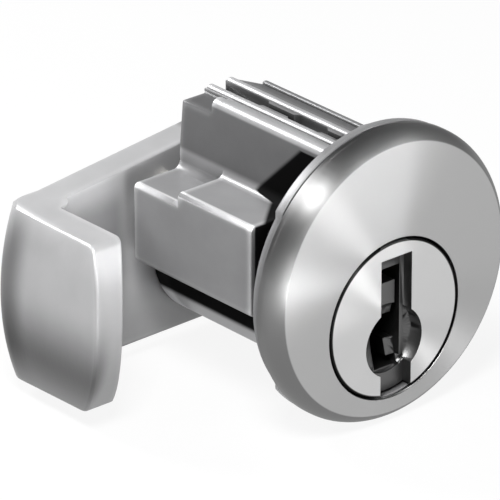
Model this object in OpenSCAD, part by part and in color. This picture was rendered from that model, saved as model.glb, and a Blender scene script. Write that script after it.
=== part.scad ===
// Mailbox lock: a five-pin tumbler lock with a round face and a hooked cam
// Millimetres. Y runs back along the lock, Z is up, and X is to the right of someone who faces it.
// The origin is where the axis of the round face meets the seat behind it.

/* [Face] */
// Diameter of the face
face_d = 28.6; // [27.4:0.1:32]
// Height of the face in front of the seat
face_h = 3.9; // [3.4:0.1:4.4]
// Radius of the rounded edge of the face
face_edge_r = 2.4; // [2.2:0.1:2.8]
// Depth of the widest part of the face behind its flat front
face_edge_depth = 2; // [1.8:0.05:2.15]
// Sheet thickness of the face cap
cap_t = 0.5; // [0.3:0.05:0.7]
// Width of the flange that shows behind the rim of the cap
seat_reveal = 1.3; // [0.8:0.1:1.5]
// Gap between the cap and the lip of the flange behind it
lip_gap = 0.25; // [0.1:0.05:0.4]
// How far that lip lies inside the edge of the cap
lip_inset = 0.1; // [0.05:0.05:0.4]
// Width of that lip, which is cut off upright on the left and on the right
lip_w = 22.2; // [20:0.1:24]

/* [Housing] */
// Length of the housing behind the seat
body_l = 19.3; // [19:0.1:24]
// Outside diameter of the shell round the plug
shell_d = 15.2; // [14.8:0.1:16]
// Width of the pin tower at its foot
tower_w = 11.8; // [11.4:0.1:13]
// Width of the pin tower at its top
tower_top_w = 10.9; // [10.6:0.1:11.4]
// Height of the top of the tower
tower_top_z = 12.1; // [12:0.1:12.4]
// Height of the ridge along the left edge of that top
ridge_h = 1; // [0.6:0.1:1.2]
// Radius of that ridge
ridge_r = 0.8; // [0.6:0.1:1]
// Width of the slope from the ridge down to the top
ridge_slope_w = 2.1; // [1.6:0.1:2.1]
// How far the top slopes down from the pockets to its right edge
right_drop = 2.1; // [0.6:0.1:2.3]
// Width over the two side blocks
block_w = 22.8; // [20:0.1:23.4]
// Height of the underside of the side blocks
block_bottom_z = -2.8; // [-4:0.1:-1]
// Height of the front ledge of the side blocks
ledge_z = 6.2; // [5:0.1:6.6]
// How much lower the rear ledge is
ledge_step = 1.1; // [0.3:0.1:1.5]
// Length of the rear ledge
rear_ledge_l = 6.3; // [4:0.1:9]
// Radius in the corner between ledge and tower
ledge_fillet_r = 0.8; // [0.3:0.1:1.2]
// Radius along the outer edges of the side blocks
block_edge_r = 0.5; // [0.2:0.1:0.8]
// Width of the groove for the door and the clip
groove_w = 2.9; // [2.2:0.1:3.4]
// Width of the core in that groove
core_w = 15.2; // [13:0.1:17]
// Height of the top of that core
core_z = 4; // [3:0.1:5]

/* [Top of the tower] */
// Width of the channel for the spring cover
channel_w = 3.4; // [3.3:0.1:4.2]
// Width of the slot between the staked edges of the channel
slot_w = 0.7; // [0.5:0.1:1.2]
// Width of the two pockets in which the cover shows
pocket_w = 1.5; // [1.3:0.1:1.8]
// Distance from the seat to the front pocket
front_pocket_y = 4.6; // [3:0.1:5]
// Length of the front pocket
front_pocket_l = 4.8; // [3:0.1:5.5]
// Length of the rear pocket
rear_pocket_l = 6.6; // [5:0.1:7.5]
// Radius of the beads along the pockets
bead_r = 0.45; // [0.3:0.05:0.5]
// Height of the beads above the tower
bead_h = 0.3; // [0.2:0.05:0.4]
// Depth from the top of the tower to the spring cover
cover_depth = 1.1; // [1:0.1:1.4]
// Thickness of the spring cover
cover_t = 0.8; // [0.5:0.1:1]
// Thickness of the wall that closes the channel in front
channel_wall = 0.5; // [0.4:0.1:0.8]
// Distance from the middle of the tower to the middle of the rail
rail_x = 4.5; // [3.8:0.1:4.8]
// Width of the rail
rail_w = 0.6; // [0.5:0.1:1]
// Height of the rail above the tower
rail_h = 0.4; // [0.3:0.1:0.8]
// Height of the flat step at the rear of the tower
tower_step_z = 11.7; // [11:0.1:11.9]
// Length of that step
tower_step_l = 4; // [3:0.1:6]
// Wall left between that step and the channel
step_wall = 1.2; // [1:0.1:1.6]
// Clearance of the spring cover in its channel
cover_fit = 0.03; // [0.02:0.01:0.05]

/* [Plug] */
// How far the plug's axis lies below the axis of the face
plug_drop = 3.9; // [3.4:0.1:4.2]
// Diameter of the plug
plug_d = 12.7; // [12:0.1:13]
// Diameter of the head of the plug
head_d = 15.3; // [14.4:0.1:15.6]
// Thickness of the head of the plug
head_t = 2; // [1.6:0.1:2.4]
// Chamfer on the edge of the head
head_chamfer = 0.12; // [0.05:0.01:0.3]
// Running clearance of the plug in its bore, on the radius
plug_fit = 0.05; // [0.03:0.01:0.1]
// Gap round the head of the plug, on the radius
head_gap = 0.25; // [0.15:0.01:0.4]
// End play of the plug
end_play = 0.1; // [0.05:0.01:0.2]

/* [Key entry] */
// Width of the recess in the head
recess_w = 3.7; // [3.4:0.1:4.2]
// Distance of the middle of the recess from the plug's axis
recess_x = 0.25; // [0:0.05:0.3]
// Height of the top of the recess above the plug's axis
recess_top = 6.1; // [5.4:0.1:6.4]
// Depth of the recess
recess_t = 1.1; // [0.6:0.1:1.4]
// Diameter of the round counterbore
counterbore_d = 6.8; // [5.4:0.05:7]
// How far the counterbore lies below the plug's axis
counterbore_drop = 2.4; // [1.6:0.1:2.8]
// Depth of the counterbore
counterbore_t = 1.5; // [1.3:0.1:2.4]
// Depth of the drill point behind the counterbore
drill_point_t = 1; // [0.5:0.1:1.5]
// Left side of the keyway from the plug's axis
keyway_left = 1; // [0.8:0.05:1.2]
// Right side of the keyway from the plug's axis
keyway_right = 1.6; // [1.3:0.05:1.6]
// Height of the top of the keyway above the plug's axis
keyway_top = 4.6; // [4:0.1:5]
// Height of the foot of the keyway, from the plug's axis
keyway_foot = -5.5; // [-5.6:0.1:-5.4]
// Thickness of the rib beside the keyway
rib_t = 0.45; // [0.25:0.05:0.45]
// Height of the foot of the rib, from the plug's axis
rib_foot = -4.6; // [-5:0.1:-4]
// Width of the upper ward
upper_ward_w = 2.1; // [1:0.05:2.2]
// Height of the underside of the upper ward
upper_ward_z = -0.3; // [-0.4:0.1:1]
// Height of the upper ward itself
upper_ward_h = 3.5; // [2:0.1:3.6]
// How far the upper ward starts behind the recess
upper_ward_back = 0.1; // [0.1:0.1:1]
// Width of the lower ward
lower_ward_w = 1; // [0.6:0.05:1.2]
// Height of the underside of the lower ward
lower_ward_z = -4.6; // [-5:0.1:-4]
// Height of the lower ward itself
lower_ward_h = 1.6; // [1:0.1:2]
// Wall left behind the keyway
keyway_end_wall = 1.9; // [1.6:0.1:2.4]

/* [Pins and springs] */
// Distance from the seat to the first pin
first_pin_y = 2.4; // [2.1:0.1:2.8]
// Distance from the last pin to the rear of the housing
last_pin_back = 2.5; // [2.2:0.1:3]
// Diameter of the pins
pin_d = 2.9; // [2.6:0.05:2.95]
// Clearance of the pins in their chambers, on the radius
pin_fit = 0.08; // [0.04:0.01:0.1]
// Chamfer on the pins
pin_chamfer = 0.28; // [0.25:0.01:0.4]
// Radius of the tip of the key pins
point_r = 0.6; // [0.4:0.05:0.8]
// Length of the point of the key pins
point_l = 0.9; // [0.5:0.1:1.2]
// Height of the floor of the plug's chambers, from the plug's axis
chamber_floor = -0.6; // [-0.9:0.1:-0.3]
// Gap left at the ends of a pin
pin_gap = 0.05; // [0.03:0.01:0.08]
// Length of key pin 1
key_pin_1_l = 5.6; // [4:0.1:6]
// Length of key pin 2
key_pin_2_l = 4.6; // [4:0.1:6]
// Length of key pin 3
key_pin_3_l = 5.9; // [4:0.1:6]
// Length of key pin 4
key_pin_4_l = 4.2; // [4:0.1:6]
// Length of key pin 5
key_pin_5_l = 5.1; // [4:0.1:6]
// Length of the driver pins
driver_l = 3.6; // [3:0.1:4]
// Outside diameter of the springs
spring_d = 2.4; // [2.2:0.05:2.6]
// Thickness of the spring wire
wire_d = 0.32; // [0.25:0.01:0.4]
// Number of turns of a spring
spring_turns = 6; // [4:1:7]

/* [Rear parts] */
// Thickness of the retaining ring
ring_t = 0.8; // [0.6:0.1:1]
// How far the retaining ring stands out of the plug
ring_stand = 0.55; // [0.4:0.05:0.8]
// Depth of the ring's groove in the plug
ring_groove = 0.85; // [0.5:0.05:1]
// Opening of the ring, in degrees
ring_open = 70; // [40:5:100]
// Rim of the plug behind the ring
plug_rim = 0.3; // [0.2:0.1:0.6]
// Diameter of the plug's tail
tail_d = 8.4; // [7.6:0.1:9]
// Distance over the flats of the tail
tail_flats = 6.4; // [5.8:0.1:7]
// How far the tail ends short of the back of the cam
tail_short = 0.1; // [0.05:0.05:0.3]
// Clearance of the parts on the tail
tail_fit = 0.05; // [0.03:0.01:0.1]
// Thickness of the stop washer
stop_t = 0.9; // [0.7:0.1:1.2]
// How far the stop washer stands out past the plug
stop_stand = 0.45; // [0.2:0.05:0.7]
// Reach of the stop washer's tab from the plug's axis
tab_reach = 9.4; // [9:0.1:9.8]
// Angle that the tab takes up
tab_angle = 20; // [14:1:26]
// Turn of the plug from stop to stop
plug_turn = 90; // [80:1:95]
// Clearance of the tab at each stop, in degrees
stop_gap = 1.5; // [1:0.5:3]
// Angle that a stop lug takes up
lug_angle = 13; // [10:1:16]
// Inner radius of the stop lugs
lug_r = 8; // [7.8:0.1:8.6]
// Width of the stop lugs
lug_w = 1.6; // [1.2:0.1:1.8]
// Angle that the skirt round the underside of the rear parts takes up
skirt_angle = 200; // [120:10:210]
// Gap between the rear parts and that skirt, on the radius
skirt_gap = 0.2; // [0.1:0.05:0.3]
// Clearance between the cam and the stop lugs and skirt
lug_gap = 0.3; // [0.2:0.1:0.5]

/* [Cam] */
// Thickness of the cam
cam_t = 3.2; // [2.4:0.1:3.6]
// Distance from the plug's axis to the outside of the finger
cam_reach = 24.2; // [21.5:0.1:28]
// Width of the cam
cam_w = 17.2; // [14:0.1:18]
// How much higher the arm of the cam is over the plug than at the finger
cam_rise = 2; // [0.6:0.1:2.4]
// Radius outside the bend
bend_r = 2.4; // [1.6:0.1:3]
// Radius inside the bend
bend_inner_r = 0.6; // [0.3:0.1:1.2]
// Length of the finger in front of the arm, along its middle
finger_l = 12.1; // [9:0.1:13]
// How far the corners of the finger lie behind its foremost point
finger_bow = 3; // [1:0.1:4]
// Height of that point above the plug's axis
finger_nose_z = 0.9; // [0:0.1:1.5]
// Radius of the two corners of the finger's front end
finger_corner_r = 1.2; // [0.6:0.1:2.4]

/* [Screw] */
// Diameter of the cam screw
screw_d = 4; // [3.5:0.1:4.4]
// Clearance of the screw in its thread, on the radius
screw_fit = 0.05; // [0.03:0.01:0.1]
// Diameter of the screw's head
screw_head_d = 8.8; // [8:0.1:9.6]
// Height of the screw's head
screw_head_h = 2.2; // [1.8:0.1:2.8]
// Length of the screw below the lock washer
screw_l = 4.4; // [3.6:0.1:4.8]
// Room left in the thread in front of the screw
thread_room = 0.5; // [0.3:0.1:0.8]
// Width of the cross in the head
cross_w = 1; // [0.8:0.1:1.3]
// Length of the cross in the head
cross_l = 4.6; // [3.6:0.1:5.4]
// Depth of the cross in the head
cross_t = 1.2; // [0.8:0.1:1.5]
// Thickness of the lock washer
lock_t = 0.8; // [0.5:0.1:1.2]
// Diameter of the lock washer
lock_d = 7.6; // [7:0.1:8.4]
// Clearance of the lock washer on the screw, on the radius
lock_fit = 0.2; // [0.1:0.05:0.3]
// Width of the split in the lock washer
lock_split = 0.5; // [0.3:0.1:0.8]

/* [Hidden] */
$fn = 96;

// Overshoot of a cut past the face that it goes through
over = 1;
// Gap between the cap and the flange that it wraps
cap_gap = 0.03;

face_y = -face_h;
plug_z = -plug_drop;
plug_r = plug_d / 2;
bore_r = plug_r + plug_fit;
head_y = face_y + head_t;
hole_r = head_d / 2 + head_gap;

pin_r = pin_d / 2;
chamber_r = pin_r + pin_fit;
key_pin_l = [key_pin_1_l, key_pin_2_l, key_pin_3_l, key_pin_4_l, key_pin_5_l];
key_pin_z = plug_z + chamber_floor + pin_gap;
driver_z = plug_z + bore_r + pin_gap;
ridge_x = ridge_r - tower_top_w / 2;
pocket_x = (pocket_w - channel_w) / 2;
crest_x = pocket_x + pocket_w / 2 + 2 * bead_r;
cover_z = tower_top_z - cover_depth - cover_t;
pin_pitch = (body_l - first_pin_y - last_pin_back) / 4;

driver_end_z = driver_z + driver_l;
spring_r = (spring_d - wire_d) / 2;
spring_z0 = driver_end_z + pin_gap + wire_d / 2;
spring_z1 = cover_z - cover_fit - wire_d / 2;

ring_y = body_l + end_play;
tail_y = ring_y + ring_t + plug_rim;
cam_y = tail_y + stop_t;
lock_y = cam_y + cam_t;
head_back_y = lock_y + lock_t;
tail_end_y = lock_y - tail_short;
keyway_end_y = tail_y - keyway_end_wall;

tab_rest = 90 + plug_turn / 2;
lug_start = tab_rest + tab_angle / 2 + stop_gap;

// Extrudes an outline, drawn in X and Z, along the lock from one distance behind the seat to another
module along(y0, y1) {
    translate([0, y1, 0]) rotate([90, 0, 0]) linear_extrude(y1 - y0) children();
}

// Turns an outline, drawn as radius and distance behind the seat, about an axis along the lock
module turned(axis_z) {
    translate([0, 0, axis_z]) rotate([-90, 0, 0]) rotate_extrude() children();
}

// Rectangle between two corners
module plate(x0, z0, x1, z1) {
    translate([x0, z0]) square([x1 - x0, z1 - z0]);
}

// Rectangle between two corners, with rounded corners
module rounded_plate(x0, z0, x1, z1, r) {
    plate(x0 + r, z0, x1 - r, z1);
    plate(x0, z0 + r, x1, z1 - r);
    for (x = [x0 + r, x1 - r], z = [z0 + r, z1 - r]) translate([x, z]) circle(r);
}

// Outline of the face at a distance inside its skin: flat in front, with a rounded edge
module rim_outline(inset, back) {
    centre_r = face_d / 2 - face_edge_r;
    centre_y = face_y + face_edge_depth;
    edge = face_edge_r - inset;
    plate(0, face_y + inset, centre_r, back);
    plate(0, centre_y, centre_r + edge, back);
    intersection() {
        translate([centre_r, centre_y]) circle(edge);
        plate(centre_r, face_y + inset, centre_r + edge, centre_y);
    }
}

// Outline of a ring sector, between two angles above the right side
module sector(r0, r1, a0, a1) {
    steps = 8;
    far = 2 * r1;
    intersection() {
        difference() {
            circle(r1);
            circle(r0);
        }
        polygon(concat([[0, 0]], [for (i = [0:steps]) let (a = a0 + (a1 - a0) * i / steps)
            [far * cos(a), far * sin(a)]]));
    }
}

module face_cap() {
    color([0.82, 0.82, 0.83]) difference() {
        turned(0) difference() {
            rim_outline(0, -seat_reveal);
            rim_outline(cap_t, over);
        }
        along(face_y - over, 0) translate([0, plug_z]) circle(hole_r);
    }
}

// Height of the right part of the tower's top at a distance to the right of its middle
function top_z(x) = tower_top_z - right_drop * (x - crest_x) / (tower_top_w / 2 - crest_x);

// Outline of the pin tower: a ridge on its left edge, a bead on each side of the pockets, a slope on the right
module tower_outline() {
    foot_x = tower_w / 2;
    top_x = tower_top_w / 2;
    ridge_z = tower_top_z + ridge_h - ridge_r;
    polygon([
        [-foot_x, 0],
        [foot_x, 0],
        [foot_x, ledge_z + ledge_fillet_r],
        [top_x, top_z(top_x)],
        [crest_x, tower_top_z],
        [ridge_x + ridge_slope_w, tower_top_z],
        [ridge_x, tower_top_z + ridge_h],
        [ridge_x, ridge_z],
        [-top_x, ridge_z],
        [-foot_x, ledge_z + ledge_fillet_r]
    ]);
    translate([ridge_x, ridge_z]) circle(ridge_r);
    for (side = [-1, 1]) translate([pocket_x + side * (pocket_w / 2 + bead_r), tower_top_z + bead_h - bead_r])
        circle(bead_r);
}

// Outline of the side blocks up to one ledge, with a fillet against the tower
module block_outline(top_z) {
    rounded_plate(-block_w / 2, block_bottom_z, block_w / 2, top_z, block_edge_r);
    for (side = [-1, 1]) difference() {
        corner = side * tower_w / 2;
        plate(min(corner, corner + side * ledge_fillet_r), top_z,
            max(corner, corner + side * ledge_fillet_r), top_z + ledge_fillet_r);
        translate([corner + side * ledge_fillet_r, top_z + ledge_fillet_r]) circle(ledge_fillet_r);
    }
}

// Upright slot with a round end at each end, down to the spring cover
module pocket(y0, y1) {
    r = pocket_w / 2;
    translate([pocket_x, 0, cover_z]) linear_extrude(tower_top_z - cover_z + over) {
        translate([-r, y0 + r]) square([pocket_w, y1 - y0 - 2 * r]);
        for (y = [y0 + r, y1 - r]) translate([0, y]) circle(r);
    }
}

module tower_top_cuts() {
    rear_pocket_y = body_l - rear_pocket_l;
    high_z = tower_top_z + ridge_h + over;
    along(channel_wall, body_l + over) plate(-channel_w / 2, cover_z, channel_w / 2, cover_z + cover_t);
    along(channel_wall, body_l + over) plate(pocket_x - slot_w / 2, cover_z, pocket_x + slot_w / 2, high_z);
    pocket(front_pocket_y, front_pocket_y + front_pocket_l);
    pocket(rear_pocket_y, body_l + channel_w);
    along(body_l - tower_step_l, body_l + over)
        plate(-tower_w / 2 - over, tower_step_z, -channel_w / 2 - step_wall, high_z);
}

module rail() {
    foot_z = top_z(rail_x);
    along(0, body_l) plate(rail_x - rail_w / 2, foot_z - over, rail_x + rail_w / 2, foot_z + rail_h);
}

// Lip of the flange, nearly as large as the cap in front of it
module flange_lip() {
    along(lip_gap - seat_reveal, 0) intersection() {
        circle(face_d / 2 - lip_inset);
        square([lip_w, face_d], center = true);
    }
}

module stop_lugs() {
    for (start = [lug_start, 180 - lug_start - lug_angle])
        along(body_l, cam_y - lug_gap) translate([0, plug_z])
            sector(lug_r, lug_r + lug_w, start, start + lug_angle);
}

// Part of a tube round the underside of the retaining ring and the stop washer
module skirt() {
    skirt_r = plug_r + max(ring_stand, stop_stand) + skirt_gap;
    along(body_l, cam_y - lug_gap) translate([0, plug_z])
        sector(skirt_r, shell_d / 2, 270 - skirt_angle / 2, 270 + skirt_angle / 2);
}

module housing() {
    step_y = body_l - rear_ledge_l;
    color([0.6, 0.6, 0.62]) difference() {
        union() {
            turned(0) rim_outline(cap_t + cap_gap, 0);
            along(0, body_l) translate([0, plug_z]) circle(shell_d / 2);
            along(0, body_l) tower_outline();
            along(0, groove_w) plate(-core_w / 2, plug_z, core_w / 2, core_z);
            along(groove_w, step_y) block_outline(ledge_z);
            along(step_y, body_l) block_outline(ledge_z - ledge_step);
            rail();
            flange_lip();
            stop_lugs();
            skirt();
        }
        along(face_y - over, head_y + end_play) translate([0, plug_z]) circle(hole_r);
        along(face_y, body_l + over) translate([0, plug_z]) circle(bore_r);
        for (i = [0:4]) translate([0, first_pin_y + i * pin_pitch, plug_z])
            cylinder(r = chamber_r, h = cover_z + cover_t / 2 - plug_z);
        tower_top_cuts();
    }
}

module chamber_cover() {
    color([0.72, 0.72, 0.7]) along(channel_wall + cover_fit, body_l - cover_fit)
        plate(-channel_w / 2 + cover_fit, cover_z, channel_w / 2 - cover_fit, cover_z + cover_t - cover_fit);
}

// Outline of the tail of the plug, larger all round by a clearance
module tail_outline(fit) {
    intersection() {
        circle(tail_d / 2 + fit);
        square([tail_flats + 2 * fit, tail_d + 2 * over], center = true);
    }
}

// Recess, counterbore and keyway, from the plug's axis
module key_entry() {
    floor_y = face_y + recess_t;
    foot = -head_d;
    along(face_y - over, floor_y)
        plate(recess_x - recess_w / 2, foot, recess_x + recess_w / 2, recess_top);
    translate([0, 0, -counterbore_drop]) turned(0) polygon([
        [0, face_y - over],
        [counterbore_d / 2, face_y - over],
        [counterbore_d / 2, face_y + counterbore_t],
        [0, face_y + counterbore_t + drill_point_t]
    ]);
    difference() {
        along(face_y - over, keyway_end_y) plate(-keyway_left, keyway_foot, keyway_right, keyway_top);
        along(floor_y + upper_ward_back, keyway_end_y)
            plate(-keyway_left, upper_ward_z, upper_ward_w - keyway_left, upper_ward_z + upper_ward_h);
        along(floor_y + upper_ward_back, keyway_end_y)
            plate(keyway_right - lower_ward_w, lower_ward_z, keyway_right, lower_ward_z + lower_ward_h);
    }
    along(face_y - over, floor_y + upper_ward_back) plate(-keyway_left, 0, keyway_right, recess_top);
}

// Rib that stands beside the keyway, out of the floor of the counterbore
module key_rib() {
    along(face_y + recess_t, face_y + counterbore_t + drill_point_t)
        plate(keyway_right, rib_foot, keyway_right + rib_t, recess_top);
}

// Profile of a pin chamber in the plug, with a pointed floor
module chamber_profile() {
    top = plug_r + over - chamber_floor;
    polygon([[0, 0], [point_r + pin_fit, 0], [chamber_r, point_l], [chamber_r, top], [0, top]]);
}

module plug() {
    head_r = head_d / 2;
    groove_r = plug_r - ring_groove;
    color([0.78, 0.78, 0.79]) difference() {
        translate([0, 0, plug_z]) {
            difference() {
                union() {
                    turned(0) polygon([
                        [0, face_y],
                        [head_r - head_chamfer, face_y],
                        [head_r, face_y + head_chamfer],
                        [head_r, head_y],
                        [plug_r, head_y],
                        [plug_r, ring_y],
                        [groove_r, ring_y],
                        [groove_r, ring_y + ring_t],
                        [plug_r, ring_y + ring_t],
                        [plug_r, tail_y],
                        [0, tail_y]
                    ]);
                    along(tail_y, tail_end_y) tail_outline(0);
                }
                key_entry();
                for (i = [0:4]) translate([0, first_pin_y + i * pin_pitch, chamber_floor])
                    rotate_extrude() chamber_profile();
            }
            key_rib();
        }
        along(lock_y - screw_l - thread_room, tail_end_y + over) translate([0, plug_z])
            circle(screw_d / 2 + screw_fit);
    }
}

module retaining_ring() {
    color([0.35, 0.35, 0.37]) along(ring_y, ring_y + ring_t) translate([0, plug_z]) difference() {
        circle(plug_r + ring_stand);
        circle(plug_r - ring_groove + tail_fit);
        sector(0, plug_d, 270 - ring_open / 2, 270 + ring_open / 2);
    }
}

module stop_washer() {
    color([0.66, 0.62, 0.5]) along(tail_y, cam_y) translate([0, plug_z]) difference() {
        union() {
            circle(plug_r + stop_stand);
            sector(plug_r / 2, tab_reach, tab_rest - tab_angle / 2, tab_rest + tab_angle / 2);
        }
        tail_outline(tail_fit);
    }
}

// Outline of the bend and the finger, drawn as radius from the plug's axis and distance behind the seat
module finger_outline() {
    bend_x = cam_reach - bend_r;
    inner_x = cam_reach - cam_t;
    plate(bend_x - cam_t, cam_y, bend_x, lock_y);
    plate(inner_x, cam_y - finger_l, cam_reach, lock_y - bend_r);
    plate(inner_x, cam_y - bend_inner_r, bend_x, lock_y);
    translate([bend_x, lock_y - bend_r]) circle(bend_r);
    difference() {
        plate(inner_x - bend_inner_r, cam_y - bend_inner_r, inner_x, cam_y);
        translate([inner_x - bend_inner_r, cam_y - bend_inner_r]) circle(bend_inner_r);
    }
}

// Outline of the finger from the side, drawn as distance behind the seat and height: a bowed front end
module finger_side() {
    half_w = cam_w / 2;
    bow_r = (pow(half_w, 2) + pow(finger_bow, 2)) / (2 * finger_bow);
    bow_y = cam_y - finger_l + bow_r;
    turn_r = bow_r - finger_corner_r;
    corner_z = half_w - finger_corner_r;
    low_z = finger_nose_z - bow_r * (corner_z + finger_nose_z) / turn_r;
    high_z = finger_nose_z + bow_r * (corner_z - finger_nose_z) / turn_r;
    intersection() {
        translate([bow_y, finger_nose_z]) circle(bow_r);
        plate(bow_y - 2 * bow_r, low_z, bow_y, high_z);
    }
    for (side = [-1, 1]) {
        corner_y = bow_y - sqrt(pow(turn_r, 2) - pow(side * corner_z - finger_nose_z, 2));
        translate([corner_y, side * corner_z]) circle(finger_corner_r);
        plate(corner_y, min(0, side * half_w), lock_y + over, max(0, side * half_w));
    }
}

// Block that gives the finger its width and its front end
module finger_limits() {
    translate([-cam_reach - over, 0, 0]) rotate([90, 0, 90]) linear_extrude(cam_reach / 2 + over)
        finger_side();
}

// Outline of the hub and the arm of the cam, with a top edge that rises from the finger to the hub
module arm_outline() {
    hub_r = cam_w / 2;
    start_x = -sqrt(pow(cam_reach - cam_t - bend_inner_r, 2) - pow(hub_r, 2));
    fall = hub_r - cam_rise;
    touch = atan2(fall, start_x) - acos(hub_r / norm([start_x, fall]));
    circle(hub_r);
    translate([0, cam_rise]) circle(hub_r);
    plate(0, 0, hub_r, cam_rise);
    intersection() {
        circle(cam_reach - bend_r);
        plate(-cam_reach, -hub_r, 0, hub_r);
    }
    polygon([[0, 0], [start_x, 0], [start_x, hub_r],
        [hub_r * cos(touch), cam_rise + hub_r * sin(touch)], [0, cam_rise]]);
}

module cam() {
    color([0.74, 0.74, 0.75]) translate([0, 0, plug_z]) difference() {
        union() {
            along(cam_y, lock_y) arm_outline();
            intersection() {
                turned(0) finger_outline();
                finger_limits();
            }
        }
        along(cam_y - over, lock_y + over) tail_outline(tail_fit);
    }
}

module lock_washer() {
    color([0.5, 0.5, 0.52]) along(lock_y, head_back_y) translate([0, plug_z]) difference() {
        circle(lock_d / 2);
        circle(screw_d / 2 + lock_fit);
        plate(-lock_split / 2, 0, lock_split / 2, lock_d);
    }
}

module cam_screw() {
    end_y = head_back_y + screw_head_h;
    edge_r = screw_head_h / 2;
    head_r = screw_head_d / 2;
    color([0.7, 0.7, 0.72]) translate([0, 0, plug_z]) difference() {
        turned(0) {
            plate(0, lock_y - screw_l, screw_d / 2, head_back_y);
            plate(0, head_back_y, head_r, end_y - edge_r);
            plate(0, head_back_y, head_r - edge_r, end_y);
            translate([head_r - edge_r, end_y - edge_r]) circle(edge_r);
        }
        for (turn = [0, 90]) rotate([0, turn, 0])
            translate([-cross_l / 2, end_y - cross_t, -cross_w / 2]) cube([cross_l, cross_t + over, cross_w]);
    }
}

module key_pin(i) {
    length = key_pin_l[i];
    color([0.8, 0.66, 0.36]) translate([0, first_pin_y + i * pin_pitch, key_pin_z]) rotate_extrude()
        polygon([[0, 0], [point_r, 0], [pin_r, point_l], [pin_r, length - pin_chamfer],
            [pin_r - pin_chamfer, length], [0, length]]);
}

module driver_pin(i) {
    color([0.75, 0.62, 0.34]) translate([0, first_pin_y + i * pin_pitch, driver_z]) rotate_extrude()
        polygon([[0, 0], [pin_r - pin_chamfer, 0], [pin_r, pin_chamfer], [pin_r, driver_l - pin_chamfer],
            [pin_r - pin_chamfer, driver_l], [0, driver_l]]);
}

// Point on the wire of a spring, a share of the way up it and at an angle round the wire
function wire_point(share, angle) =
    let (turn = 360 * spring_turns * share, r = spring_r + wire_d / 2 * cos(angle))
    [r * cos(turn), r * sin(turn), spring_z0 + (spring_z1 - spring_z0) * share + wire_d / 2 * sin(angle)];

module pin_spring(i) {
    sides = 6;
    rings = 12 * spring_turns;
    points = [for (ring = [0:rings], side = [0:sides - 1]) wire_point(ring / rings, 360 * side / sides)];
    skin = [for (ring = [0:rings - 1], side = [0:sides - 1])
        let (a = ring * sides + side, b = ring * sides + (side + 1) % sides)
        each [[a, b, b + sides], [a, b + sides, a + sides]]];
    ends = [[for (side = [sides - 1:-1:0]) side], [for (side = [0:sides - 1]) rings * sides + side]];
    color([0.6, 0.6, 0.6]) translate([0, first_pin_y + i * pin_pitch, 0])
        polyhedron(points, concat(skin, ends));
}

housing();
face_cap();
chamber_cover();
plug();
retaining_ring();
stop_washer();
cam();
lock_washer();
cam_screw();
for (i = [0:4]) {
    key_pin(i);
    driver_pin(i);
    pin_spring(i);
}
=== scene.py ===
"""A mailbox lock, dressed for rendering: a round turned face, a die-cast housing and a thick hooked cam."""
import math

import bmesh
import bpy
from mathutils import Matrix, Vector


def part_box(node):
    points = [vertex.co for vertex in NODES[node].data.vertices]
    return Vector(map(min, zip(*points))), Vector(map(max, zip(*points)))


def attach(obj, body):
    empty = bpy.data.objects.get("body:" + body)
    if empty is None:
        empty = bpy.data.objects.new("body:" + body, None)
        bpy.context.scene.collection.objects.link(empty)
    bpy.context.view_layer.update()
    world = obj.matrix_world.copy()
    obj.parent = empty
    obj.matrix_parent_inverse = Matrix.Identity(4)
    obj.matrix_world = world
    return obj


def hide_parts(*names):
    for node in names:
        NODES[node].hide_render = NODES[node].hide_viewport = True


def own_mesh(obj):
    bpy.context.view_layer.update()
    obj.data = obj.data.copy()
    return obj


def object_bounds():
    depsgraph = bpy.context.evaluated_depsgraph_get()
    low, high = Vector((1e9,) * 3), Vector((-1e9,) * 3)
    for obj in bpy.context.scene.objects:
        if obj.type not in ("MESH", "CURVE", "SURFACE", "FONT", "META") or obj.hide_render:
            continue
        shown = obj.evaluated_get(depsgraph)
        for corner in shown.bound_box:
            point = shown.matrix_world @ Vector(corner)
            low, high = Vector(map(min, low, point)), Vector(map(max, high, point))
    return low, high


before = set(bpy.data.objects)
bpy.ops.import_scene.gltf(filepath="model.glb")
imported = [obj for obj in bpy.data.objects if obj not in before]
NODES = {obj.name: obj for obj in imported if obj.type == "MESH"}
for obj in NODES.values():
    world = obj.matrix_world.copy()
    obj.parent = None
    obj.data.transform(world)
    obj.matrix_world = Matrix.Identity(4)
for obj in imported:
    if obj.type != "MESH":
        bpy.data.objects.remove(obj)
cad_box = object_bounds()

MM = 0.001

# Places read from the frame
face_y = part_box("face_cap")[0].y
head_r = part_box("plug")[1].x
plug_z = (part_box("lock_washer")[0].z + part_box("lock_washer")[1].z) / 2
cam_top_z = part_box("cam")[1].z
floor_z = cad_box[0].z

# Places on the housing, the cap and the plug that the frame's boxes don't give
GROOVE_FRONT_Y = 0.1 * MM
GROOVE_BACK_Y = 2.9 * MM
LEDGE_Z = 6.2 * MM
LEDGE_STEP_Y = 13 * MM
LEDGE_STEP = 1.1 * MM
BLOCK_FACE_X = 10.9 * MM
BLOCK_CORNER_X = 10.85 * MM
BLOCK_BOTTOM_Z = -2.8 * MM
FILLET_X = 5.8 * MM, 6.9 * MM
TOWER_HALF_W = 5.9 * MM
TOWER_TOP_Z = 12 * MM
BEAD_Z = 12.12 * MM
RIDGE_Z = 12.3 * MM
RIDGE_SIDE_X = -3.4 * MM
POCKET_X = -0.95 * MM
POCKET_HALF_W = 0.8 * MM
POCKET_Z = 10 * MM
CAP_BEVEL_R = 13.2 * MM
HEAD_RIM = 0.3 * MM
HEAD_SKIN = 0.03 * MM
KEY_SLOT_HALF_W = 1.8 * MM

# The two bends between the cam's arm and its finger
OUTER_BEND_X = -21.5 * MM
OUTER_BEND_Y = 22 * MM
INNER_BEND_X = -18.5 * MM, -17 * MM
BEND_EDGE = 0.45 * MM

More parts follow.
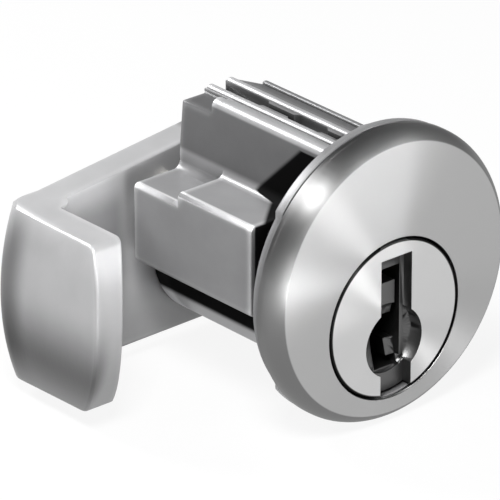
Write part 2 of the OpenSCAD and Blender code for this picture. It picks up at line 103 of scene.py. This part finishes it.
# Rounding
SHARP_ANGLE = math.radians(32)
ROUNDED_ANGLE = math.radians(30)
HOUSING_ROUND = 0.22 * MM
CAP_ROUND = 0.06 * MM
PLUG_ROUND = 0.05 * MM
CAM_ROUND = 0.3 * MM
SAME_PLACE = 0.02 * MM
SAME_POINT = 0.0005 * MM
FLAT_ANGLE = math.radians(0.5)

# Satin finish: scales of its patterns, where corners get painted shade, and where edges turn bright with wear
# and painted highlight
DRIFT_SCALE = 260
GRAIN_SCALE = 10
CORNER_REACH = 5 * MM
CORNER_OPENNESS = 0.25, 0.7
EDGE_REACH = 0.9 * MM
EDGE_OPENNESS = 0.55, 0.95

# Tones of the casting, as factors of its colour, most of them painted light and shade, and the width over
# which one changes to the next
FADE = 0.1 * MM
SHADOW_BLACK = 0.03
TOWER_SHADE_Z = 6.8 * MM
TOWER_PAINTED_SHADE = 0.45
FLANGE_TONE = 0.6
RIDGE_PAINTED_HIGHLIGHT = 2.6
BEAD_PAINTED_HIGHLIGHT = 2.2
LEDGE_EDGE_PAINTED_HIGHLIGHT = 2
SHELL_BLACK_Z = -6.9 * MM
SHELL_BRIGHT_Z = -7.8 * MM
SHELL_PAINTED_HIGHLIGHT = 1.6

# Painted shadow behind the flange: its length at the foot of the tower, and how it shrinks over the ledge
FLANGE_SHADOW_LENGTH = 8.8 * MM
FLANGE_SHADOW_STEP = 2.5 * MM
FLANGE_SHADOW_SLOPE = 0.87

# Tones of the cam, painted light and shade, each from one place and factor to the next
FINGER_BY_HEIGHT = (-9 * MM, 0.22), (-1 * MM, 1.06)
FINGER_TO_REAR = (19.3 * MM, 1), (22 * MM, 0.4)
FINGER_TO_ARM = (-24 * MM, 0), (-22 * MM, 1)
ARM_BY_HEIGHT = (-12 * MM, 0.85), (7 * MM, 1.4)
ARM_SHADE_AND_LIGHT_INWARDS = (-12 * MM, 0.65), (-9.5 * MM, 1.4)
CAM_TOP_PAINTED_SHADE = 0.6

# Where the arm's shade beside the finger ends: 0 inside it and 1 clear of it
CLEAR_AT_TOP = (1.5 * MM, 0), (4.5 * MM, 1)
CLEAR_AT_BOTTOM = (-11 * MM, 1), (-3 * MM, 0)
CLEAR_AT_REAR = (22 * MM, 0), (22.5 * MM, 1)
CLEAR_AT_FINGER_END = (15 * MM, 1), (18 * MM, 0)

# Turned finish, with painted shade on the cap's bevel and beside the gap between plug and cap
TURNED_ROUGHNESS = 0.45
TURNED_STRETCH = 0.86
RING_DEPTH = 0.0012 * MM
RING_SCALE = 9000
BEVEL_PAINTED_SHADE = 0.42
GAP_SHADE_WIDTH = 0.12 * MM

# Camera
VIEW_AZIMUTH = math.radians(-41)
VIEW_ELEVATION = math.radians(25)
VIEW_DISTANCE = 600 * MM
PIXELS_PER_METRE = 10985
IMAGE_WIDTH = 500
SENSOR_WIDTH = 36
AIM_RIGHT = -10.56 * MM
AIM_UP = 1.44 * MM

# Surround: its tones by height, from 0 at the horizon to 1 overhead, and its strength on matt surfaces
SURROUND = (0.3, (0.25, 0.25, 0.25, 1)), (0.62, (0.04, 0.04, 0.042, 1))
SURROUND_ON_MATT = 0.4

# Floor: its grey, and how much of it glows, as the camera sees it and as metal mirrors it
FLOOR_HALF_W = 3
FLOOR_GREY = 0.5
FLOOR_GREY_SEEN = 0.8
FLOOR_GLOW_SEEN = 0.9
FLOOR_GLOW_MIRRORED = 0.85

# Spots on the face: each lights a patch of this radius, centred this far from the middle of the face
SPOT_LIT_R = 12 * MM
SPOT_PLACE_R = 17 * MM
# Direction to the light, its distance, the patch's angle and the power
FACE_SPOTS = (
    ((-0.286, -0.929, -0.235), 0.06, 170, 0.12),
    ((-0.426, -0.905, -0.010), 0.15, 157, 0.42),
    ((-0.057, -0.990, 0.124), 0.15, 140, 0.38),
    ((0.136, -0.957, 0.257), 0.15, 124, 0.4),
    ((0.387, -0.853, 0.350), 0.15, 107, 0.6),
    ((0.655, -0.704, 0.275), 0.15, 90, 0.6),
)


def link_object(name, data):
    made = bpy.data.objects.new(name, data)
    bpy.context.scene.collection.objects.link(made)
    return made


def turn_towards(made, direction):
    """Points a camera or a light along a direction."""
    made.rotation_mode = "QUATERNION"
    made.rotation_quaternion = direction.to_track_quat("-Z", "Y")


def make_camera():
    a, e = VIEW_AZIMUTH, VIEW_ELEVATION
    back = Vector((math.sin(a) * math.cos(e), -math.cos(a) * math.cos(e), math.sin(e)))
    right = Vector((math.cos(a), math.sin(a), 0))
    up = back.cross(right)
    data = bpy.data.cameras.new("camera")
    data.sensor_width = SENSOR_WIDTH
    data.lens = PIXELS_PER_METRE * VIEW_DISTANCE * SENSOR_WIDTH / IMAGE_WIDTH
    data.clip_start, data.clip_end = 0.05, 10
    camera = link_object("camera", data)
    camera.location = right * AIM_RIGHT + up * AIM_UP + back * VIEW_DISTANCE
    turn_towards(camera, -back)
    bpy.context.scene.camera = camera


def link_piece(name, bm, body, materials, slot, *replaced):
    """Turns a bmesh into a smooth-shaded piece that rides on a body and stands for CAD nodes."""
    mesh = bpy.data.meshes.new(name)
    bm.to_mesh(mesh)
    bm.free()
    for material in materials:
        mesh.materials.append(material)
    mesh.shade_smooth()
    mesh.set_sharp_from_angle(angle=SHARP_ANGLE)
    piece = link_object(name, mesh)
    normals = piece.modifiers.new("even_normals", "WEIGHTED_NORMAL")
    normals.keep_sharp = True
    normals.weight = 100
    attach(piece, body)
    if replaced:
        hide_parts(*replaced)
    return piece


def merged_copy(node):
    """A bmesh of a CAD node, with its loose triangles joined and its flat faces made whole."""
    bm = bmesh.new()
    bm.from_mesh(NODES[node].data)
    bmesh.ops.remove_doubles(bm, verts=bm.verts, dist=SAME_POINT)
    bmesh.ops.dissolve_limit(bm, angle_limit=FLAT_ANGLE, verts=bm.verts, edges=bm.edges)
    return bm


def middle_of(edge):
    return (edge.verts[0].co + edge.verts[1].co) / 2


def too_thin_to_round(edge):
    """Whether an edge of the housing lies where a ledge or fillet runs out, or along the cover's pockets."""
    middle = middle_of(edge)
    out = abs(middle.x)
    if middle.z > POCKET_Z and abs(middle.x - POCKET_X) < POCKET_HALF_W:
        return True
    at_step = abs(middle.y - LEDGE_STEP_Y) < SAME_PLACE
    at_groove = abs(middle.y - GROOVE_BACK_Y) < SAME_PLACE
    on_fillet = FILLET_X[0] < out < FILLET_X[1]
    return (at_step and out > BLOCK_CORNER_X) or ((at_step or at_groove) and on_fillet)


def around_bend(edge):
    """Whether an edge is one of the short ones around the two bends between the cam's arm and its finger."""
    middle = middle_of(edge)
    outer = middle.x < OUTER_BEND_X and middle.y > OUTER_BEND_Y
    inner = INNER_BEND_X[0] < middle.x < INNER_BEND_X[1]
    return edge.calc_length() < BEND_EDGE and (outer or inner)


def soften(bm, width, segments=3, skip=None):
    """Rounds the sharp outer edges."""
    sharp = [e for e in bm.edges if len(e.link_faces) == 2 and e.is_convex
             and e.calc_face_angle() > ROUNDED_ANGLE and not (skip and skip(e))]
    bmesh.ops.bevel(bm, geom=sharp, offset=width, offset_type="OFFSET", segments=segments, profile=0.5,
                    affect="EDGES", clamp_overlap=False, material=-1)


def softened_piece(node, body, material, slot, width, segments=3, skip=None):
    bm = merged_copy(node)
    soften(bm, width, segments, skip)
    link_piece(node + "_rounded", bm, body, [material], slot, node)


def make_plug():
    """The plug with fine edges, bright in front, and with a darker material as painted shade inside the key
    entry.
    """
    bm = merged_copy("plug")
    soften(bm, PLUG_ROUND, 2)
    for face in bm.faces:
        middle = face.calc_center_median()
        radius = math.hypot(middle.x, middle.z - plug_z)
        within = radius < head_r - HEAD_RIM or abs(middle.x) < KEY_SLOT_HALF_W
        if middle.y > face_y + HEAD_SKIN and within:
            face.material_index = 1
    link_piece("plug_rounded", bm, "plug", [plug_metal, shaded_key_entry], "plug_metal", "plug")


def make_spring(number):
    """A pin spring as a piece on the housing, with a mesh of its own."""
    node = f"pin_spring_{number}"
    piece = link_piece(node + "_squeezed", merged_copy(node), "housing", [bright_steel], "spring_steel", node)
    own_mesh(piece)


def material_nodes(name):
    material = bpy.data.materials.new(name)
    material.use_nodes = True
    tree = material.node_tree
    return material, tree, tree.nodes["Principled BSDF"]


def add(tree, kind, **values):
    node = tree.nodes.new(kind)
    for key, value in values.items():
        setattr(node, key, value)
    return node


def calculated(tree, operation, *values):
    """The result of a calculation on other values and on numbers."""
    node = add(tree, "ShaderNodeMath", operation=operation)
    for place, value in zip(node.inputs, values):
        if isinstance(value, (int, float)):
            place.default_value = value
        else:
            tree.links.new(value, place)
    return node.outputs["Value"]


def combined(tree, operation, result, *others):
    """The result of a calculation that goes on over several values."""
    for other in others:
        result = calculated(tree, operation, result, other)
    return result


def ranged(tree, value, start, end, low, high, shape="LINEAR"):
    """A value that goes evenly from low to high while another one goes from start to end."""
    node = add(tree, "ShaderNodeMapRange", interpolation_type=shape)
    for name, number in (("From Min", start), ("From Max", end), ("To Min", low), ("To Max", high)):
        node.inputs[name].default_value = number
    tree.links.new(value, node.inputs["Value"])
    return node.outputs["Result"]


def past(tree, value, limit, width, low=0, high=1):
    """A value that goes softly from low to high while another one passes a limit by a width."""
    return ranged(tree, value, limit, limit + width, low, high, "SMOOTHSTEP")


def toned(tree, value, tone):
    """A value that goes softly from one factor to another between two places."""
    (start, low), (end, high) = tone
    return ranged(tree, value, start, end, low, high, "SMOOTHSTEP")


def chosen(tree, share, first, second):
    """The first value where the share is 0 and the second where it is 1."""
    mix = add(tree, "ShaderNodeMix", data_type="FLOAT")
    for place, value in (("Factor", share), ("A", first), ("B", second)):
        tree.links.new(value, mix.inputs[place])
    return mix.outputs["Result"]


def cleared(tree, factor, clear, plain=1):
    """A factor where another value is 0, and a plain number where that is 1."""
    return calculated(tree, "MULTIPLY_ADD", clear, calculated(tree, "SUBTRACT", plain, factor), factor)


def on_vector(tree, operation, vector, other):
    """The result of a calculation on a vector and a fixed vector."""
    node = add(tree, "ShaderNodeVectorMath", operation=operation)
    tree.links.new(vector, node.inputs[0])
    node.inputs[1].default_value = other
    return node.outputs["Vector"]


def object_place(tree):
    """The three coordinates of a point on the piece."""
    split = add(tree, "ShaderNodeSeparateXYZ")
    tree.links.new(add(tree, "ShaderNodeTexCoord").outputs["Object"], split.inputs["Vector"])
    return split.outputs["X"], split.outputs["Y"], split.outputs["Z"]


def distance_from_axis(tree, x, z, axis_z):
    """How far a point lies from an axis along Y."""
    up = calculated(tree, "SUBTRACT", z, axis_z)
    squares = calculated(tree, "MULTIPLY_ADD", x, x, calculated(tree, "MULTIPLY", up, up))
    return calculated(tree, "SQRT", squares)


def noise(tree, place, scale, detail, socket="Vector", **values):
    node = add(tree, "ShaderNodeTexNoise", **values)
    node.inputs["Scale"].default_value = scale
    node.inputs["Detail"].default_value = detail
    tree.links.new(place, node.inputs[socket])
    return node.outputs["Fac"]


def openness(tree, distance, **values):
    """How little of a point's surroundings is blocked by the object within a distance."""
    node = add(tree, "ShaderNodeAmbientOcclusion", samples=8, **values)
    node.inputs["Distance"].default_value = distance
    return node.outputs["AO"]


def scaled_colour(tree, shader, *factors):
    """Multiplies the colour that goes into a shader by other values."""
    for factor in factors:
        scaled = add(tree, "ShaderNodeVectorMath", operation="SCALE")
        tree.links.new(shader.inputs["Base Color"].links[0].from_socket, scaled.inputs[0])
        tree.links.new(factor, scaled.inputs["Scale"])
        tree.links.new(scaled.outputs["Vector"], shader.inputs["Base Color"])


def raised(tree, shader, height, depth):
    """Adds relief to what a shader has already."""
    bump = add(tree, "ShaderNodeBump")
    bump.inputs["Strength"].default_value = 1
    bump.inputs["Distance"].default_value = depth
    tree.links.new(height, bump.inputs["Height"])
    for link in shader.inputs["Normal"].links:
        tree.links.new(link.from_socket, bump.inputs["Normal"])
    tree.links.new(bump.outputs["Normal"], shader.inputs["Normal"])


def satin_metal(name, colour, roughness, grain=(400, 400, 400), grain_depth=0.02 * MM, spread=0.06, tint=0.12,
                metallic=1, corner_shade=0, edge_wear_and_sheen=0):
    """A metal whose colour and roughness drift, with a fine grain, painted shade in corners, and edges made
    bright as wear and painted highlight.
    """
    material, tree, shader = material_nodes(name)
    shader.inputs["Metallic"].default_value = metallic
    place = add(tree, "ShaderNodeTexCoord").outputs["Object"]
    drift = noise(tree, place, DRIFT_SCALE, 4)
    strength = ranged(tree, drift, 0, 1, 1 - tint, 1 + tint)
    # Painted shade: corners closed in by the object itself are darkened
    if corner_shade:
        closed_in = ranged(tree, openness(tree, CORNER_REACH), *CORNER_OPENNESS, 1 - corner_shade, 1)
        strength = calculated(tree, "MULTIPLY", strength, closed_in)
    # Edge wear and painted highlight: thin convex edges are made brighter
    if edge_wear_and_sheen:
        thickness = openness(tree, EDGE_REACH, inside=True, only_local=True)
        rubbed_and_lit = ranged(tree, thickness, *EDGE_OPENNESS, 1 + edge_wear_and_sheen, 1, "SMOOTHSTEP")
        strength = calculated(tree, "MULTIPLY", strength, rubbed_and_lit)
    tinted = add(tree, "ShaderNodeVectorMath", operation="SCALE")
    tinted.inputs[0].default_value = colour
    tree.links.new(strength, tinted.inputs["Scale"])
    tree.links.new(tinted.outputs["Vector"], shader.inputs["Base Color"])
    gloss = ranged(tree, drift, 0, 1, roughness - spread, roughness + spread)
    tree.links.new(gloss, shader.inputs["Roughness"])
    stretch = add(tree, "ShaderNodeMapping")
    stretch.inputs["Scale"].default_value = grain
    tree.links.new(place, stretch.inputs["Vector"])
    raised(tree, shader, noise(tree, stretch.outputs["Vector"], GRAIN_SCALE, 6), grain_depth)
    return material


def flange_shadow(tree, x, y, z):
    """A black painted shadow of the flange on the ledges, the tower and the groove close to it, but not on
    the blocks' outer sides.
    """
    out = calculated(tree, "ABSOLUTE", x)
    height = calculated(tree, "MAXIMUM", calculated(tree, "SUBTRACT", z, LEDGE_Z), 0)
    aside = calculated(tree, "MAXIMUM", calculated(tree, "SUBTRACT", out, TOWER_HALF_W), 0)
    off_wall = past(tree, out, TOWER_HALF_W + FADE, 4 * FADE, 0, FLANGE_SHADOW_STEP)
    reach = calculated(tree, "MULTIPLY_ADD", aside, FLANGE_SHADOW_SLOPE, combined(tree, "ADD", y, height, off_wall))
    near = past(tree, reach, FLANGE_SHADOW_LENGTH - 3 * FADE, 7 * FADE, SHADOW_BLACK, 1)
    groove = past(tree, y, GROOVE_BACK_Y, FADE, SHADOW_BLACK, 1)
    above_ledge = past(tree, z, LEDGE_Z, 2 * FADE)
    painted_shadow = calculated(tree, "MINIMUM", near, calculated(tree, "MAXIMUM", groove, above_ledge))
    outside = past(tree, out, BLOCK_FACE_X - FADE, 2 * FADE)
    below = past(tree, z, BLOCK_BOTTOM_Z - FADE, FADE, 1, 0)
    top = past(tree, z, TOWER_TOP_Z, 2 * FADE)
    return combined(tree, "MAXIMUM", painted_shadow, outside, below, top)


def shell_shadow_and_highlight(tree, z):
    """Painted light on the shell below the blocks: a black painted shadow just under them and a painted
    highlight along its lowest part.
    """
    shade = toned(tree, z, ((SHELL_BRIGHT_Z, SHELL_PAINTED_HIGHLIGHT), (SHELL_BLACK_Z, SHADOW_BLACK)))
    return calculated(tree, "MAXIMUM", shade, past(tree, z, BLOCK_BOTTOM_Z - FADE, FADE))


def cast_metal():
    """The grey die casting, with painted shade on the tower, painted highlights on its ridge, beads and ledge
    edges, a painted shadow by the flange, and painted shadow and highlight on the shell below the blocks; the
    flange itself is one darker tone.
    """
    material = satin_metal("die_cast_nickel", (0.32, 0.32, 0.325), 0.38, grain_depth=0.01 * MM, metallic=0.4,
                           corner_shade=0.8, edge_wear_and_sheen=0.7)
    tree = material.node_tree
    shader = tree.nodes["Principled BSDF"]
    shader.inputs["Specular IOR Level"].default_value = 0
    x, y, z = object_place(tree)
    # Painted shade: the tower above this height is darker
    tower = past(tree, z, TOWER_SHADE_Z, 6 * FADE, 1, TOWER_PAINTED_SHADE)
    # Painted highlights: the ridge on the left of the top and the beads on its right are made brighter
    ridge = past(tree, z, RIDGE_Z, 3 * FADE, 1, RIDGE_PAINTED_HIGHLIGHT)
    beads = past(tree, z, BEAD_Z, 0.8 * FADE, 1, BEAD_PAINTED_HIGHLIGHT)
    top = chosen(tree, past(tree, x, RIDGE_SIDE_X, 2 * FADE), ridge, beads)
    # Painted highlight along the ledges' outer edges, the rear ledge lying lower
    levelled = past(tree, y, LEDGE_STEP_Y - 0.1 * FADE, 0.2 * FADE, 0, LEDGE_STEP)
    level = calculated(tree, "ADD", z, levelled)
    out = calculated(tree, "ABSOLUTE", x)
    high = past(tree, level, LEDGE_Z - 5 * FADE, 3 * FADE, 1, LEDGE_EDGE_PAINTED_HIGHLIGHT)
    far_out = past(tree, out, BLOCK_FACE_X - 2 * FADE, 2 * FADE, 1, LEDGE_EDGE_PAINTED_HIGHLIGHT)
    ledge_edge = calculated(tree, "MINIMUM", high, far_out)
    flange = past(tree, y, GROOVE_FRONT_Y, 2 * FADE, 1, 0)
    # Painted shadow of the flange, kept off the flange itself
    painted_shadow = calculated(tree, "MAXIMUM", flange_shadow(tree, x, y, z), flange)
    shell = calculated(tree, "MAXIMUM", shell_shadow_and_highlight(tree, z), flange)
    # On the flange itself the painted light and shade give way to one darker tone
    painted_light = cleared(tree, combined(tree, "MULTIPLY", tower, top, ledge_edge), flange, FLANGE_TONE)
    scaled_colour(tree, shader, painted_light, painted_shadow, shell)
    # Metal is taken out where painted shadow falls, so that it stays black
    outside_painted_shadow = combined(tree, "MINIMUM", painted_shadow, shell, 1)
    metallic = shader.inputs["Metallic"]
    tree.links.new(calculated(tree, "MULTIPLY", outside_painted_shadow, metallic.default_value), metallic)
    return material


def plated_cam():
    """The cam's plating, with painted shade low on the finger, on its rear edge, on the arm beside the finger
    and on its top, and painted light on the arm higher up and nearer the housing.
    """
    material = satin_metal("cam_nickel", (0.4, 0.4, 0.405), 0.4, grain=(300, 300, 60), grain_depth=0.01 * MM,
                           metallic=0.4, corner_shade=0.15, edge_wear_and_sheen=0.15)
    tree = material.node_tree
    shader = tree.nodes["Principled BSDF"]
    x, y, z = object_place(tree)
    # Painted shade: the finger darker towards its bottom and its rear
    finger = calculated(tree, "MULTIPLY", toned(tree, z, FINGER_BY_HEIGHT), toned(tree, y, FINGER_TO_REAR))
    clear = combined(tree, "MAXIMUM", toned(tree, z, CLEAR_AT_TOP), toned(tree, z, CLEAR_AT_BOTTOM),
                     toned(tree, y, CLEAR_AT_REAR), toned(tree, y, CLEAR_AT_FINGER_END))
    # Painted shadow of the finger on the arm beside it, and painted light further in
    shade = cleared(tree, toned(tree, x, ARM_SHADE_AND_LIGHT_INWARDS), clear)
    arm = calculated(tree, "MULTIPLY", toned(tree, z, ARM_BY_HEIGHT), shade)
    side = chosen(tree, toned(tree, x, FINGER_TO_ARM), finger, arm)
    # Painted shade: the cam's top face is darker
    top = past(tree, z, cam_top_z - 2 * FADE, FADE, 1, CAM_TOP_PAINTED_SHADE)
    scaled_colour(tree, shader, side, top)
    return material


def turned_metal(name, colour, centre_z, gap_side):
    """A metal with a turned finish: rings about an axis along Y, which stretch the light across them.

    A painted shade makes the gap between plug and cap black on the side of it that is given: 1 outside, -1
    inside.
    """
    material = satin_metal(name, colour, TURNED_ROUGHNESS, grain=(500, 500, 500), grain_depth=0.002 * MM,
                           spread=0.03, tint=0.03)
    tree = material.node_tree
    links = tree.links
    shader = tree.nodes["Principled BSDF"]
    shader.inputs["Anisotropic"].default_value = TURNED_STRETCH
    place = add(tree, "ShaderNodeTexCoord").outputs["Object"]
    centred = on_vector(tree, "SUBTRACT", place, (0, 0, centre_z))
    flat = on_vector(tree, "MULTIPLY", centred, (1, 0, 1))
    along = add(tree, "ShaderNodeVectorTransform", vector_type="VECTOR", convert_from="OBJECT",
                convert_to="WORLD")
    links.new(flat, along.inputs["Vector"])
    unit = add(tree, "ShaderNodeVectorMath", operation="NORMALIZE")
    links.new(along.outputs["Vector"], unit.inputs[0])
    links.new(unit.outputs["Vector"], shader.inputs["Tangent"])
    length = add(tree, "ShaderNodeVectorMath", operation="LENGTH")
    links.new(flat, length.inputs[0])
    radius = length.outputs["Value"]
    raised(tree, shader, noise(tree, radius, RING_SCALE, 3, "W", noise_dimensions="1D"), RING_DEPTH)
    # Painted shade: the face's bevel beyond this radius is darker
    bevel = past(tree, radius, CAP_BEVEL_R - 0.5 * FADE, 1.5 * FADE, 1, BEVEL_PAINTED_SHADE)
    x, _, z = object_place(tree)
    # Painted shade beside the gap between plug and cap
    gap = past(tree, distance_from_axis(tree, x, z, plug_z), head_r + gap_side * GAP_SHADE_WIDTH,
               gap_side * FADE, SHADOW_BLACK, 1)
    scaled_colour(tree, shader, bevel, gap)
    return material


def paint_nodes(material, *names):
    for name in names:
        data = NODES[name].data
        data.materials.clear()
        data.materials.append(material)
        data.shade_smooth()
        data.set_sharp_from_angle(angle=SHARP_ANGLE)


def place_light(name, data, direction, distance, power, aim):
    data.energy = power
    light = link_object(name, data)
    towards = Vector(direction).normalized()
    light.location = aim + towards * distance
    turn_towards(light, -towards)
    light.visible_camera = False


def area_light(name, direction, distance, width, height, power):
    data = bpy.data.lights.new(name, "AREA")
    data.shape = "RECTANGLE"
    data.size = width
    data.size_y = height
    place_light(name, data, direction, distance, power, Vector((0, 0, 0)))


def face_spot(number, direction, distance, angle, power):
    """A soft spot that lights a round patch near the rim of the face."""
    name = f"face_spot_{number}"
    data = bpy.data.lights.new(name, "SPOT")
    data.shadow_soft_size = distance / 10
    data.spot_size = 2 * math.atan(SPOT_LIT_R / distance)
    data.spot_blend = 1
    turn = math.radians(angle)
    aim = Vector((math.cos(turn), 0, math.sin(turn))) * SPOT_PLACE_R + Vector((0, face_y, 0))
    place_light(name, data, direction, distance, power, aim)


def make_lights():
    area_light("front_strip", (0.50, -0.85, 0.16), 0.20, 0.24, 0.05, 0.06)
    area_light("key_box", (-0.45, -0.35, 0.82), 0.30, 0.08, 0.08, 1.1)
    area_light("back_left_box", (-0.31, 0.69, 0.66), 0.26, 0.08, 0.08, 0.45)
    for number, spot in enumerate(FACE_SPOTS, 1):
        face_spot(number, *spot)


def make_world():
    """A light grey surround near the horizon that fades to a darker one overhead."""
    world = bpy.data.worlds.new("studio")
    bpy.context.scene.world = world
    world.use_nodes = True
    tree = world.node_tree
    split = add(tree, "ShaderNodeSeparateXYZ")
    tree.links.new(add(tree, "ShaderNodeTexCoord").outputs["Generated"], split.inputs["Vector"])
    ramp = add(tree, "ShaderNodeValToRGB")
    for stop, (place, colour) in zip(ramp.color_ramp.elements, SURROUND):
        stop.position = place
        stop.color = colour
    tree.links.new(split.outputs["Z"], ramp.inputs["Fac"])
    background = tree.nodes["Background"]
    tree.links.new(ramp.outputs["Color"], background.inputs["Color"])
    diffuse = add(tree, "ShaderNodeLightPath").outputs["Is Diffuse Ray"]
    tree.links.new(ranged(tree, diffuse, 0, 1, 1, SURROUND_ON_MATT), background.inputs["Strength"])


def make_floor():
    """A pale floor that shows as white in the picture and in metal, and still takes a soft shadow."""
    bm = bmesh.new()
    bmesh.ops.create_grid(bm, x_segments=1, y_segments=1, size=FLOOR_HALF_W)
    bmesh.ops.translate(bm, verts=bm.verts, vec=(0, 0, floor_z))
    mesh = bpy.data.meshes.new("floor")
    bm.to_mesh(mesh)
    bm.free()
    material, tree, shader = material_nodes("floor_white")
    shader.inputs["Roughness"].default_value = 0.9
    shader.inputs["Specular IOR Level"].default_value = 0.1
    rays = add(tree, "ShaderNodeLightPath").outputs
    mirrored = calculated(tree, "MAXIMUM", rays["Is Glossy Ray"], rays["Is Transmission Ray"])
    share = calculated(tree, "MAXIMUM", calculated(tree, "MULTIPLY", rays["Is Camera Ray"], FLOOR_GLOW_SEEN),
                       calculated(tree, "MULTIPLY", mirrored, FLOOR_GLOW_MIRRORED))
    pale = ranged(tree, rays["Is Camera Ray"], 0, 1, FLOOR_GREY, FLOOR_GREY_SEEN)
    tree.links.new(pale, shader.inputs["Base Color"])
    glow = add(tree, "ShaderNodeEmission")
    mix = add(tree, "ShaderNodeMixShader")
    tree.links.new(share, mix.inputs["Fac"])
    tree.links.new(shader.outputs["BSDF"], mix.inputs[1])
    tree.links.new(glow.outputs["Emission"], mix.inputs[2])
    tree.links.new(mix.outputs["Shader"], tree.nodes["Material Output"].inputs["Surface"])
    mesh.materials.append(material)
    link_object("floor", mesh)


bpy.context.scene.view_settings.view_transform = "Standard"
make_camera()
make_world()
make_floor()
make_lights()

cast = cast_metal()
cap_metal = turned_metal("turned_cap", (0.5, 0.5, 0.5), 0, 1)
plug_metal = turned_metal("turned_plug", (0.68, 0.68, 0.68), plug_z, -1)
# A dark material as painted shade inside the plug's key entry
shaded_key_entry = satin_metal("key_entry_painted_shade", (0.14, 0.14, 0.14), 0.4, grain_depth=0.01 * MM)
cam_metal = plated_cam()
strip = satin_metal("cover_strip", (0.85, 0.85, 0.85), 0.3, grain=(400, 60, 400), metallic=0.3)
dark_steel = satin_metal("dark_steel", (0.16, 0.16, 0.17), 0.35)
washer_brass = satin_metal("washer_brass", (0.34, 0.33, 0.3), 0.32)
bright_steel = satin_metal("bright_steel", (0.5, 0.5, 0.51), 0.28)
pin_brass = satin_metal("pin_brass", (0.5, 0.38, 0.18), 0.25)

softened_piece("housing", "housing", cast, "die_cast", HOUSING_ROUND, skip=too_thin_to_round)
softened_piece("face_cap", "housing", cap_metal, "polished_cap", CAP_ROUND)
make_plug()
softened_piece("cam", "plug", cam_metal, "cam_steel", CAM_ROUND, 4, around_bend)
paint_nodes(strip, "chamber_cover")
paint_nodes(dark_steel, "retaining_ring")
paint_nodes(washer_brass, "stop_washer")
paint_nodes(bright_steel, "lock_washer", "cam_screw")
for number in range(1, 6):
    paint_nodes(pin_brass, f"key_pin_{number}", f"driver_pin_{number}")
    make_spring(number)
